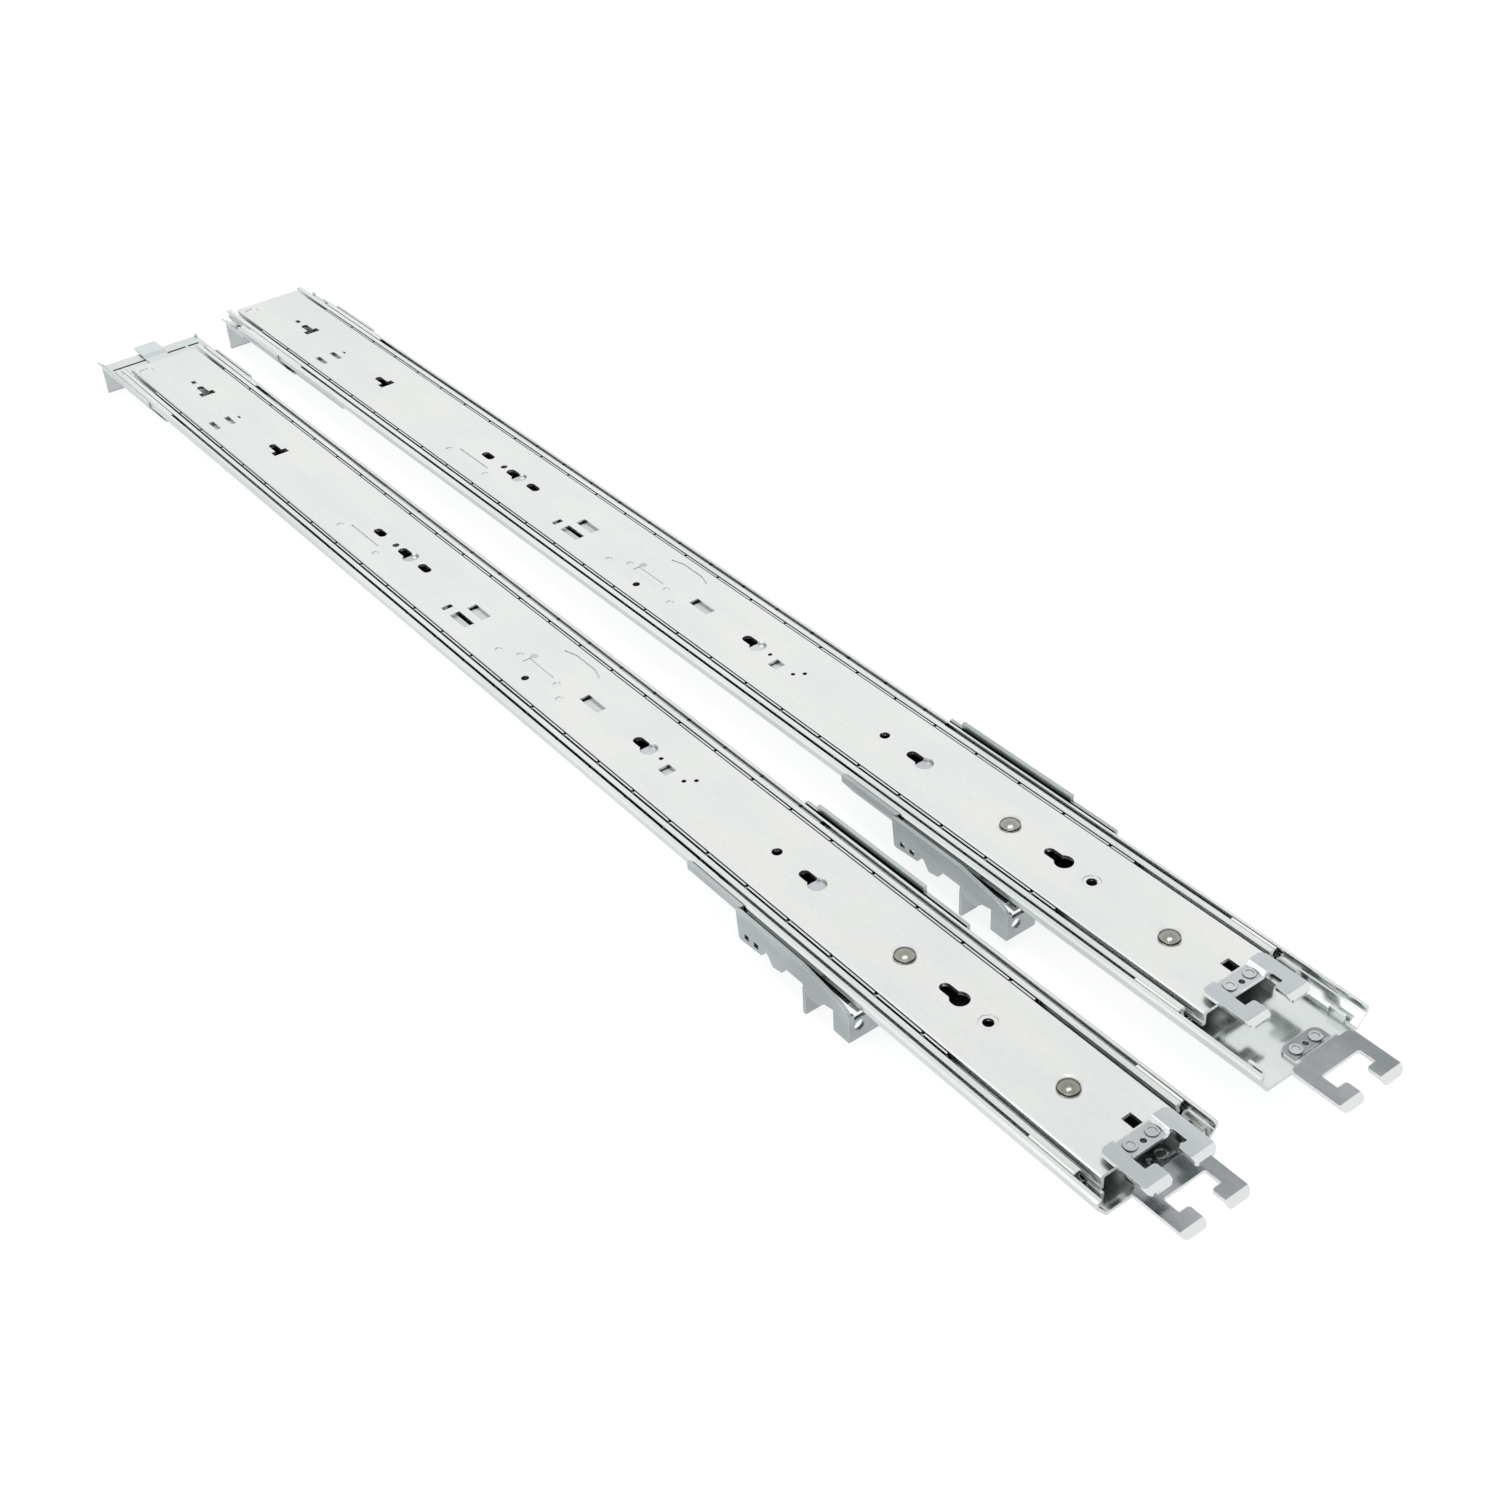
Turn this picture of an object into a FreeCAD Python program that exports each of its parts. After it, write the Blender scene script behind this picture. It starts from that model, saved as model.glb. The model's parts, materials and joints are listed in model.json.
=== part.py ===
"""Sliding server rail pair: two identical three-section ball-bearing slides for a rack.

Each rail lies on its rack side with the chassis member on top. In rail coordinates x runs
from the front face of the rack flange to the rear, y is measured from the centre line and
z from the top face of the chassis member's web. All sizes are millimetres.
"""
import FreeCAD
import Part
import Sketcher
import os
import re

SIZES = [
    # overall section
    ("outer_width", 50.4), ("foot_width", 41.6), ("rail_depth", 9.2), ("knee_depth", 3.6),
    ("outer_sheet", 1.3), ("lip_drop", 0.4), ("lip_reach", 1.9), ("lip_sheet", 0.8),
    ("lip_round", 0.9), ("lip_root", 0.3), ("web_gap", 0.3), ("top_gap", 0.1),
    # ball races
    ("ball_radius", 1.19), ("race_gap", 0.29), ("ball_pitch", 23.0), ("outer_race_depth", 2.8),
    ("inner_race_depth", 3.2), ("pocket_gap", 0.05), ("inner_race_gap", 1.0),
    ("outer_race_gap", 0.85),
    # lengths: each inner section is set in from the ends of the outer member
    ("outer_start", 28.0), ("outer_length", 701.0), ("middle_inset", 1.0),
    ("middle_setback", 12.0), ("inner_inset", 5.0), ("inner_setback", 6.0),
    # middle member
    ("middle_width", 43.8), ("middle_flange", 2.3), ("middle_web", 1.1), ("middle_foot", 39.4),
    ("middle_knee", 4.6),
    # inner (chassis) member
    ("inner_width", 35.6), ("inner_sheet", 1.4), ("inner_flange", 1.6), ("inner_drop", 5.9),
    ("inner_bevel", 0.5),
    # ball cages
    ("cage_sheet", 0.7), ("inner_cage_inset", 36.0), ("inner_cage_setback", 60.0),
    ("inner_cage_top", 0.6), ("inner_cage_bottom", 5.4), ("outer_cage_inset", 196.0),
    ("outer_cage_length", 318.0), ("outer_cage_top", 1.5), ("outer_cage_bottom", 4.2),
    ("notch_width", 1.4), ("notch_depth", 0.9),
    # bumpers in the gap between the middle and outer members
    ("bumper_width", 1.0), ("bumper_depth", 0.8), ("front_bumper_length", 57.0),
    ("rear_bumper_length", 19.0), ("bumper_inset", 7.0),
    # stop tabs of the outer member
    ("tab_length", 6.0), ("tab_height", 3.6), ("tab_sheet", 1.2), ("tab_setback", 9.8),
    ("tab_offset", 18.2),
    # forks for the cable arm
    ("fork_sheet", 1.3), ("fork_width", 28.4), ("fork_cavity", 17.4), ("fork_throat", 9.2),
    ("fork_hook", 7.6), ("fork_cavity_length", 6.3), ("tip_drop", 1.1), ("tip_length", 2.4),
    ("tip_round", 2.6), ("hook_round", 1.2), ("cavity_round", 0.9), ("bend_round", 1.4),
    ("jog_round", 0.8), ("strip_length", 7.4), ("strip_width", 17.4), ("strip_round", 3.2),
    ("rivet_spacing", 9.0), ("centre_hole", 1.1), ("centre_hole_shift", 0.9),
    ("inner_fork_root", 5.8), ("inner_fork_offset", 0.8), ("inner_fork_rise", 1.8),
    ("jog_width", 1.2), ("outer_fork_offset", 1.9), ("outer_fork_rise", 2.0),
    ("outer_fork_root", 8.6), ("outer_fork_neck", 1.2),
    # rivets
    ("rivet_radius", 1.7), ("rivet_head", 2.2), ("rivet_height", 0.5), ("rivet_dish", 1.5),
    ("rivet_gap", 0.05),
    # front group of openings in the inner web, measured from its front end
    ("stud_slot_at", 36.0), ("stud_slot_length", 3.6), ("stud_slot_width", 2.0),
    ("tee_one_at", 48.5), ("tee_two_at", 128.0), ("tee_length", 9.8), ("tee_stem", 3.2),
    ("tee_bar", 7.4), ("tee_bar_length", 3.8), ("tee_round", 1.7), ("oval_one_at", 228.0),
    ("oval_two_at", 267.0), ("oval_length", 8.0), ("oval_width", 3.8), ("pilot_at", 242.0),
    ("pilot_radius", 1.5), ("key_one_at", 255.0), ("key_two_at", 435.0), ("key_radius", 3.5),
    ("key_slot", 4.2), ("key_length", 6.9), ("window_one_at", 312.0), ("window_two_at", 397.0),
    ("window_length", 12.0), ("window_width", 4.4), ("side_window_width", 4.6),
    ("side_window_y", 8.2), ("lance_at", 85.4), ("lance_length", 9.0), ("lance_width", 2.4),
    ("lance_one_y", 4.0), ("lance_two_y", 12.0), ("mark_hole_at", 365.0), ("mark_hole_y", 10.8),
    ("mark_hole_radius", 1.6), ("dot_radius", 0.9), ("dot_one_at", 443.0), ("dot_two_at", 459.6),
    ("dot_two_y", 1.5), ("dot_three_at", 462.4), ("dot_three_y", 2.2), ("square_at", 450.0),
    ("square_size", 5.0), ("square_y", 2.3),
    # rear group of openings in the inner web, measured back from its rear end
    ("key_three_back", 154.0), ("key_four_back", 81.0), ("screw_hole_back", 176.5),
    ("screw_hole_spacing", 109.0), ("screw_hole_radius", 2.0), ("screw_ring_radius", 3.4),
    ("rect_back", 9.7), ("rect_length", 5.2), ("rect_width", 4.0), ("rect_y", 4.8),
    # shallow stamped marks of the inner web
    ("mark_depth", 0.3), ("mark_line", 0.7), ("corner_mark_at", 7.6), ("corner_mark_y", 12.8),
    ("corner_mark_radius", 3.6), ("long_mark_at", 225.6), ("long_mark_length", 24.0),
    ("long_mark_y", 6.4), ("panel_mark_at", 363.2), ("panel_mark_length", 18.0),
    ("panel_mark_width", 3.2), ("panel_mark_y", 3.5), ("ring_radius", 1.5),
    ("arrow_at", 359.3), ("arrow_length", 25.0), ("arrow_head", 6.0), ("arrow_y", 11.8),
    ("arrow_step", 1.8),
    # domed studs
    ("dome_back", 108.0), ("dome_spacing", 76.5), ("dimple_radius", 5.2), ("dimple_depth", 0.9),
    ("dome_radius", 3.6), ("dome_height", 1.7), ("dome_sphere", 5.4), ("dome_neck", 2.9),
    ("dome_shank", 2.0),
    # clips and the release lever under the inner web
    ("clip_sheet", 0.8), ("clip_length", 8.0), ("clip_width", 10.0), ("clip_margin", 1.2),
    ("clip_shift", 1.0), ("lever_length", 104.0), ("lever_width", 5.4), ("lever_sheet", 1.0),
    ("lever_gap", 1.1), ("head_gap", 0.3), ("lever_pivot_at", 354.5), ("pivot_radius", 1.5),
    ("pivot_clearance", 0.1), ("pivot_head", 2.8),
    # front bracket
    ("bracket_sheet", 1.2), ("bracket_gap", 0.1), ("base_length", 130.0), ("lip_length", 22.0),
    ("lip_width", 53.6), ("lip_offset", 4.4), ("ear_width", 1.2), ("ear_height", 1.2),
    ("slot_start", 8.0), ("slot_width", 1.6), ("slot_length", 47.8),
    ("left_cheek_end", 71.5), ("right_cheek_start", 40.0), ("right_cheek_end", 79.0),
    ("cheek_start", 2.0), ("cheek_low_end", 27.0), ("cheek_low_top", 5.5), ("cheek_top", 1.0),
    ("front_rivet_one", 49.0), ("front_rivet_pitch", 50.0), ("front_rivet_width", 17.6),
    ("flange_drop", 24.0), ("rack_hole_radius", 3.5), ("rack_hole_pitch", 15.875),
    ("rack_hole_depth", 17.0), ("tongue_front", 6.0), ("tongue_slope", 6.0),
    ("tongue_back", 15.0), ("tongue_width", 12.0), ("tongue_lift", 0.4),
    # rear bracket, placed from the outer member's rear end
    ("carriage_setback", 112.0), ("carriage_length", 87.0), ("carriage_gap", 0.4),
    ("carriage_sheet", 1.4), ("carriage_high", 31.0), ("carriage_low_top", 5.0),
    ("ear_inset", 7.0), ("ear_length", 58.0), ("ear_rise", 1.5), ("right_top", 1.0),
    ("hook_inset", 30.0), ("hook_length", 60.4), ("hook_sheet", 1.4), ("hook_top", 1.0),
    ("hook_low_top", 6.4), ("hook_slope_start", 36.0), ("hook_corner", 3.6), ("hook_bend", 4.6),
    ("hook_waist", 9.4), ("hook_bottom", 13.8), ("hook_slot_rise", 1.0), ("finger_one_end", 14.0),
    ("tooth_start", 20.0), ("tooth_end", 25.0), ("tooth_slope", 2.4), ("stop_tooth_start", 36.2),
    ("stop_tooth_end", 45.4), ("end_start", 52.4), ("end_depth", 18.6), ("finger_round", 1.2),
    ("stop_depth", 22.6), ("stop_width", 7.4), ("end_width", 13.4), ("end_corner_width", 2.4),
    ("end_corner_top", 7.4), ("end_gap", 0.6), ("end_hole_radius", 2.2),
    ("end_hole_inset", 4.6), ("end_hole_depth", 13.0), ("pin_slot_length", 2.6),
    ("pin_slot_height", 2.2), ("pin_slot_one", 4.4), ("pin_slot_two", 9.6),
    ("pin_slot_depth", 11.6), ("finger_start", 1.2),
    # the pair as it lies
    ("pair_pitch", 72.1), ("pair_stagger", -3.3), ("rail_two_pull", 24.0),
    # place of the frame's origin, measured from the finished model
    ("origin_x", 0.0), ("origin_y", 0.0), ("origin_z", 0.0),
]
NAMES = [name for name, _ in SIZES]
WORD = re.compile(r"[a-z_]+")

doc = FreeCAD.newDocument("ServerRailPair")
sheet = doc.addObject("Spreadsheet::Sheet", "Sizes")
for row, (name, number) in enumerate(SIZES, start=1):
    sheet.set("A%d" % row, name)
    sheet.set("B%d" % row, str(number))
    sheet.setAlias("B%d" % row, name)
doc.recompute()

RACE_RADIUS = "(ball_radius + race_gap)"
INNER_BALL_Y = "(middle_width / 2 - middle_flange - inner_race_gap)"
OUTER_BALL_Y = "(middle_width / 2 + outer_race_gap)"
OUTER_REAR = "(outer_start + outer_length)"
MIDDLE_START = "(outer_start + middle_inset)"
MIDDLE_REAR = "(outer_start + outer_length - middle_setback)"
INNER_START = "(outer_start + inner_inset)"
INNER_SPAN = "(outer_length - inner_inset - inner_setback)"
INNER_FORK_START = "(outer_start + outer_length - inner_setback - inner_fork_root)"
CARRIAGE_REAR = "(outer_start + outer_length - carriage_setback)"
CARRIAGE_START = "(outer_start + outer_length - carriage_setback - carriage_length)"
HOOK_START = "(%s + hook_inset)" % CARRIAGE_START
HOOK_Y = "(outer_width / 2 + carriage_gap + carriage_sheet)"
FLANGE_TOP = "(rail_depth + bracket_gap)"
KEY_THREE = "(%s - key_three_back)" % INNER_SPAN
KEY_FOUR = "(%s - key_four_back)" % INNER_SPAN
DOMES = ("(%s - dome_back)" % INNER_SPAN, "(%s - dome_back + dome_spacing)" % INNER_SPAN)
SCREW_HOLES = ("(%s - screw_hole_back)" % INNER_SPAN,
               "(%s - screw_hole_back + screw_hole_spacing)" % INNER_SPAN)


def linked(text):
    """An expression in which each size's name is read from the sheet."""
    return WORD.sub(lambda word: "Sizes." + word.group() if word.group() in NAMES
                    else word.group(), str(text))


def bind(item, **links):
    """Bind properties to expressions; a double underscore stands for a dot."""
    for path, text in links.items():
        item.setExpression(path.replace("__", "."), linked(text))


def put(item, x, y, z):
    """Bind the place of an object."""
    bind(item, Placement__Base__x=x, Placement__Base__y=y, Placement__Base__z=z)


def block(x, y, z):
    """A box between the low and high expressions of each axis."""
    item = doc.addObject("Part::Box", "Block")
    for side, (low, high) in zip(("Length", "Width", "Height"), (x, y, z)):
        item.setExpression(side, linked("(%s) - (%s)" % (high, low)))
    put(item, x[0], y[0], z[0])
    return item


TURNS = {"x": (FreeCAD.Vector(0, 1, 0), 90), "y": (FreeCAD.Vector(1, 0, 0), -90),
         "z": (FreeCAD.Vector(0, 0, 1), 0)}


def rod(axis, radius, start, length):
    """A cylinder from its start point along an axis."""
    item = doc.addObject("Part::Cylinder", "Rod")
    item.Placement.Rotation = FreeCAD.Rotation(*TURNS[axis])
    bind(item, Radius=radius, Height=length)
    put(item, *start)
    return item


def ball(radius, centre):
    """A sphere about a centre."""
    item = doc.addObject("Part::Sphere", "Ball")
    bind(item, Radius=radius)
    put(item, *centre)
    return item


def fused(*items):
    """One solid made of touching or crossing shapes."""
    item = doc.addObject("Part::MultiFuse", "Fused")
    item.Shapes = list(items)
    item.Refine = True
    return item


def grouped(items):
    """Separate solids kept in one node."""
    item = doc.addObject("Part::Compound", "Group")
    item.Links = list(items)
    return item


def cut(base, *tools):
    """A shape with the tools removed."""
    item = doc.addObject("Part::Cut", "Cut")
    item.Base = base
    item.Tool = tools[0] if len(tools) == 1 else grouped_tools(tools)
    item.Refine = True
    return item


def grouped_tools(tools):
    """Cutting tools joined for one cut."""
    item = doc.addObject("Part::MultiFuse", "Tools")
    item.Shapes = list(tools)
    return item


def common(first, second):
    """The space that two shapes share."""
    item = doc.addObject("Part::Common", "Common")
    item.Base = first
    item.Tool = second
    return item


def sheet_body(role, outline, thickness, rounds=None):
    """A padded outline whose every corner is bound to the sheet.

    rounds maps a radius to the corners that it rounds.
    """
    body = doc.addObject("PartDesign::Body", "Body")
    sketch = body.newObject("Sketcher::SketchObject", "Outline")
    plane = [part for part in body.Origin.OriginFeatures if part.Role == role][0]
    sketch.AttachmentSupport = [(plane, "")]
    sketch.MapMode = "FlatFace"
    count = len(outline)
    rough = [FreeCAD.Vector(sheet_value(body, u), sheet_value(body, v), 0) for u, v in outline]
    for index in range(count):
        sketch.addGeometry(Part.LineSegment(rough[index], rough[(index + 1) % count]))
    for index in range(count):
        sketch.addConstraint(Sketcher.Constraint("Coincident", index, 2, (index + 1) % count, 1))
    for index, corner in enumerate(outline):
        for kind, text, size in zip(("DistanceX", "DistanceY"), corner, rough[index]):
            place = sketch.addConstraint(Sketcher.Constraint(kind, index, 1, size))
            sketch.setExpression("Constraints[%d]" % place, linked(text))
    pad = body.newObject("PartDesign::Pad", "Pad")
    pad.Profile = sketch
    bind(pad, Length=thickness)
    doc.recompute()
    for radius, corners in (rounds or {}).items():
        spots = [sketch.Placement.multVec(rough[corner]) for corner in corners]
        normal = sketch.Placement.Rotation.multVec(FreeCAD.Vector(0, 0, 1))
        solid = body.Tip
        edges = ["Edge%d" % (number + 1) for number, edge in enumerate(solid.Shape.Edges)
                 if on_corner(edge, spots, normal)]
        fillet = body.newObject("PartDesign::Fillet", "Round")
        fillet.Base = (solid, edges)
        bind(fillet, Radius=radius)
        doc.recompute()
    return body


def sheet_value(item, text):
    """The number that an expression has now."""
    return float(item.evalExpression(linked(text)))


def on_corner(edge, spots, normal):
    """Whether an edge runs along the normal from one of the corners."""
    first, last = edge.Vertexes[0].Point, edge.Vertexes[-1].Point
    if (last - first).cross(normal).Length > 1e-6:
        return False
    return any((first - spot).cross(normal).Length < 1e-4 for spot in spots)


def mirrored(half):
    """A closed section from its right half."""
    return half + [("-(%s)" % y, z) for y, z in reversed(half)]


def both(count, corners):
    """The corners of a right half and their mirror images."""
    return list(corners) + [count - 1 - corner for corner in corners]


class Rail:
    """One rail: its shapes in rail coordinates and its place in the pair."""

    def __init__(self, name, across, along, pull):
        self.name = name
        self.across = across
        self.along = along
        self.pull = pull

    def node(self, item, label, pulled=0.0):
        """Name a finished sub-part and bind its place in the pair."""
        item.Label = "%s_%s" % (self.name, label)
        start = "origin_x + (%s)" % self.along
        x = "%s - (%s) * %s" % (start, self.pull, pulled)
        put(item, x, "origin_y + (%s)" % self.across, "origin_z")
        NODES.append(item)


NODES = []


def outer_section():
    """Right half of the outer member's C section."""
    return [("foot_width / 2", "-rail_depth"),
            ("outer_width / 2", "-knee_depth"),
            ("outer_width / 2", "-lip_drop - lip_round"),
            ("outer_width / 2 - lip_round", "-lip_drop"),
            ("outer_width / 2 - lip_reach", "-lip_drop"),
            ("outer_width / 2 - lip_reach", "-lip_drop - lip_sheet"),
            ("outer_width / 2 - outer_sheet", "-lip_drop - lip_sheet - lip_root"),
            ("outer_width / 2 - outer_sheet", "-knee_depth"),
            ("foot_width / 2 - lip_root", "-rail_depth + outer_sheet")]


def hugging_section(gap, thickness, top):
    """Right half of a bracket that wraps round the outer member from below."""
    wall = "outer_width / 2 + %s" % gap
    foot = "foot_width / 2 + %s" % gap
    return [("%s + %s / 2" % (foot, thickness), "-rail_depth - %s - %s" % (gap, thickness)),
            ("%s + %s" % (wall, thickness), "-knee_depth"),
            ("%s + %s" % (wall, thickness), top),
            (wall, top),
            (wall, "-knee_depth"),
            (foot, "-rail_depth - %s" % gap)]


def long_body(half, start, length, rounds=None):
    """A section padded along the rail and moved to its start."""
    outline = mirrored(half)
    if rounds:
        rounds = {radius: both(len(outline), corners) for radius, corners in rounds.items()}
    body = sheet_body("YZ_Plane", outline, length, rounds)
    put(body, start, "0", "0")
    return body


def races(y, depth, start, length):
    """Cutters for the ball races on both sides."""
    return [rod("x", RACE_RADIUS, (start, "%s%s" % (sign, y), "-" + depth), length)
            for sign in ("", "-")]


def outer_member(rail):
    """C channel fixed to the rack, with races, rivet holes and two stop tabs."""
    body = long_body(outer_section(), "outer_start", "outer_length",
                     {"0.5": [3], "0.8": [0], "1.2": [1]})
    tools = races(OUTER_BALL_Y, "outer_race_depth", "outer_start", "outer_length")
    for place in fork_rivet_places("outer_fork_offset"):
        tools.append(rod("z", "rivet_radius + rivet_gap",
                         (outer_strip_x(0.5), place, "-rail_depth"), "outer_sheet"))
    for x, y in front_rivet_places():
        tools.append(rod("z", "rivet_radius + rivet_gap", (x, y, "-rail_depth"), "outer_sheet"))
    channel = cut(body, *tools)
    tabs = []
    for sign in ("", "-"):
        low = "%s(tab_offset)" % sign
        edge = sorted_pair(sign, low, "%s(tab_offset + tab_sheet)" % sign)
        tabs.append(block((OUTER_REAR + " - tab_setback", OUTER_REAR + " - tab_setback + tab_length"),
                          edge, ("-rail_depth + outer_sheet", "-rail_depth + outer_sheet + tab_height")))
    rail.node(fused(channel, *tabs), "outer_member")


def sorted_pair(sign, near, far):
    """Low and high bounds of a span that may lie on either side."""
    return (far, near) if sign else (near, far)


def fork_rivet_places(offset):
    """Where a fork's two rivets lie across the rail."""
    return ["%s - rivet_spacing / 2" % offset, "%s + rivet_spacing / 2" % offset]


def front_rivet_places():
    """The four rivets that hold the front bracket to the outer member."""
    return [(x, "%s front_rivet_width / 2" % side)
            for x in ("front_rivet_one", "front_rivet_one + front_rivet_pitch") for side in ("", "-")]


def outer_strip_x(share):
    """A place along the strip of the outer fork."""
    return "(%s - outer_fork_root + %s * strip_length)" % (OUTER_REAR, share)


def middle_member(rail):
    """Intermediate member with races on both faces of its flanges."""
    floor = "-rail_depth + outer_sheet + web_gap"
    half = [("middle_foot / 2", floor),
            ("middle_width / 2", "-middle_knee"),
            ("middle_width / 2", "-lip_drop - top_gap"),
            ("middle_width / 2 - middle_flange", "-lip_drop - top_gap"),
            ("middle_width / 2 - middle_flange", floor + " + middle_web")]
    span = "%s - %s" % (MIDDLE_REAR, MIDDLE_START)
    body = long_body(half, MIDDLE_START, span, {"0.5": [2, 3]})
    tools = races(OUTER_BALL_Y, "outer_race_depth", MIDDLE_START, span)
    tools += races(INNER_BALL_Y, "inner_race_depth", MIDDLE_START, span)
    rail.node(cut(body, *tools), "middle_member", 1.0)


def slot(x, y, length, width):
    """Cutters for a round-ended slot along the rail, centred at x, y."""
    reach = "(%s - %s) / 2" % (length, width)
    ends = [web_hole("%s %s %s" % (x, sign, reach), y, "%s / 2" % width) for sign in "+-"]
    return ends + [web_window(x, y, "%s - %s" % (length, width), width)]


def web_hole(x, y, radius, depth="inner_sheet"):
    """Cutter for a round hole or mark in the inner web; x from the member's front end."""
    return rod("z", radius, ("%s + %s" % (INNER_START, x), y, "-" + depth), depth)


def web_window(x, y, length, width, depth="inner_sheet"):
    """Cutter for a rectangular hole or mark in the inner web."""
    return block(("%s + %s - (%s) / 2" % (INNER_START, x, length),
                  "%s + %s + (%s) / 2" % (INNER_START, x, length)),
                 ("%s - (%s) / 2" % (y, width), "%s + (%s) / 2" % (y, width)), ("-" + depth, "0"))


def keyhole(x):
    """Cutters for a keyhole whose slot points to the front."""
    return [web_hole(x, "0", "key_radius"),
            web_hole(x + " - key_length", "0", "key_slot / 2"),
            web_window(x + " - key_length / 2", "0", "key_length", "key_slot")]


def tee(x):
    """Cutters for a T-shaped opening with its bar to the rear and a round end in front."""
    return [web_window(x, "0", "tee_length", "tee_stem"),
            web_hole(x + " - tee_length / 2", "0", "tee_round"),
            web_window("%s + tee_length / 2 - tee_bar_length / 2" % x, "0", "tee_bar_length",
                       "tee_bar")]


def through_cuts():
    """Cutters for every opening of the inner web."""
    tools = [web_window("stud_slot_at", "0", "stud_slot_length", "stud_slot_width")]
    tools += tee("tee_one_at") + tee("tee_two_at")
    for at in ("oval_one_at", "oval_two_at"):
        tools += slot(at, "0", "oval_length", "oval_width")
    for at in ("key_one_at", "key_two_at", KEY_THREE, KEY_FOUR):
        tools += keyhole(at)
    for at in ("window_one_at", "window_two_at"):
        tools.append(web_window(at, "0", "window_length", "window_width"))
    tools.append(web_window("window_one_at", "-side_window_y", "window_length", "side_window_width"))
    tools.append(web_window("window_one_at - window_length", "-side_window_y", "lance_width",
                            "side_window_width"))
    for y in ("-lance_one_y", "-lance_two_y"):
        tools.append(web_window("lance_at", y, "lance_length", "lance_width"))
    tools.append(web_window("lance_at", "dot_radius", "lance_width", "dot_radius"))
    tools.append(web_hole("pilot_at", "0", "pilot_radius"))
    tools.append(web_hole("mark_hole_at", "-mark_hole_y", "mark_hole_radius"))
    tools.append(web_hole("dot_one_at", "0", "dot_radius"))
    tools.append(web_hole("dot_two_at", "-dot_two_y", "dot_radius"))
    tools.append(web_hole("dot_three_at", "dot_three_y", "dot_radius"))
    tools.append(web_window("square_at", "-square_y", "square_size", "square_size"))
    tools.append(web_window("(%s - rect_back)" % INNER_SPAN, "rect_y", "rect_length", "rect_width"))
    tools += [web_hole(at, "0", "screw_hole_radius") for at in SCREW_HOLES]
    tools += [web_hole(at, "0", "dome_shank + rivet_gap") for at in DOMES]
    tools.append(web_hole("lever_pivot_at", "0", "pivot_radius + rivet_gap"))
    for place in fork_rivet_places("inner_fork_offset"):
        tools.append(rod("z", "rivet_radius + rivet_gap",
                         (inner_strip_x(0.5), place, "-inner_sheet"), "inner_sheet"))
    return tools


def stamped_marks():
    """Cutters for the shallow marks and dimples in the top of the inner web."""
    tools = [web_hole("corner_mark_at", "-corner_mark_y", "corner_mark_radius", "mark_depth"),
             web_hole(SCREW_HOLES[1], "0", "screw_ring_radius", "mark_depth"),
             web_window("long_mark_at", "-long_mark_y", "long_mark_length", "mark_line", "mark_depth"),
             web_window("panel_mark_at", "-panel_mark_y", "panel_mark_length", "panel_mark_width",
                        "mark_depth")]
    for side in ("-", "+"):
        edge = "long_mark_at %s long_mark_length * 2 / 3" % side
        tools.append(web_hole(edge, "-mark_hole_y + ring_radius / 2", "ring_radius", "mark_depth"))
        inner = "panel_mark_at %s panel_mark_length * 0.75" % side
        outer = "panel_mark_at %s panel_mark_length * 1.25" % side
        tools.append(web_hole(inner, "-panel_mark_y", "ring_radius", "mark_depth"))
        tools.append(web_hole(outer, "-side_window_y", "ring_radius", "mark_depth"))
    arrow = sheet_body("XY_Plane", arrow_outline(), "mark_depth")
    put(arrow, "%s + arrow_at" % INNER_START, "arrow_y", "-mark_depth")
    tools.append(arrow)
    for at in DOMES:
        bowl = "(dimple_radius ^ 2 + dimple_depth ^ 2) / (2 * dimple_depth)"
        tools.append(ball(bowl, ("%s + %s" % (INNER_START, at), "0", "%s - dimple_depth" % bowl)))
        tools.append(web_hole(at, "0", "dome_neck + rivet_gap", "dimple_depth"))
    return tools


def arrow_outline():
    """A long line with both ends bent in, like the outline of a flat arrow."""
    line = [("0", "0"), ("arrow_head", "arrow_step"), ("arrow_length - arrow_head", "arrow_step"),
            ("arrow_length", "0")]
    return line + [(x, "%s - mark_line" % y) for x, y in reversed(line)]


def inner_member(rail):
    """Chassis member: inverted channel with punched web and outward races."""
    half = [("inner_width / 2 - inner_bevel", "0"),
            ("inner_width / 2", "-inner_bevel"),
            ("inner_width / 2", "-inner_drop"),
            ("inner_width / 2 - inner_flange", "-inner_drop"),
            ("inner_width / 2 - inner_flange", "-inner_sheet")]
    body = long_body(half, INNER_START, INNER_SPAN, {"0.5": [4]})
    tools = races(INNER_BALL_Y, "inner_race_depth", INNER_START, INNER_SPAN)
    rail.node(cut(body, *tools, *through_cuts(), *stamped_marks()), "inner_member", 1.0)


def inner_strip_x(share):
    """A place along the strip of the inner fork."""
    return "(%s + %s * strip_length)" % (INNER_FORK_START, share)


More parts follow.
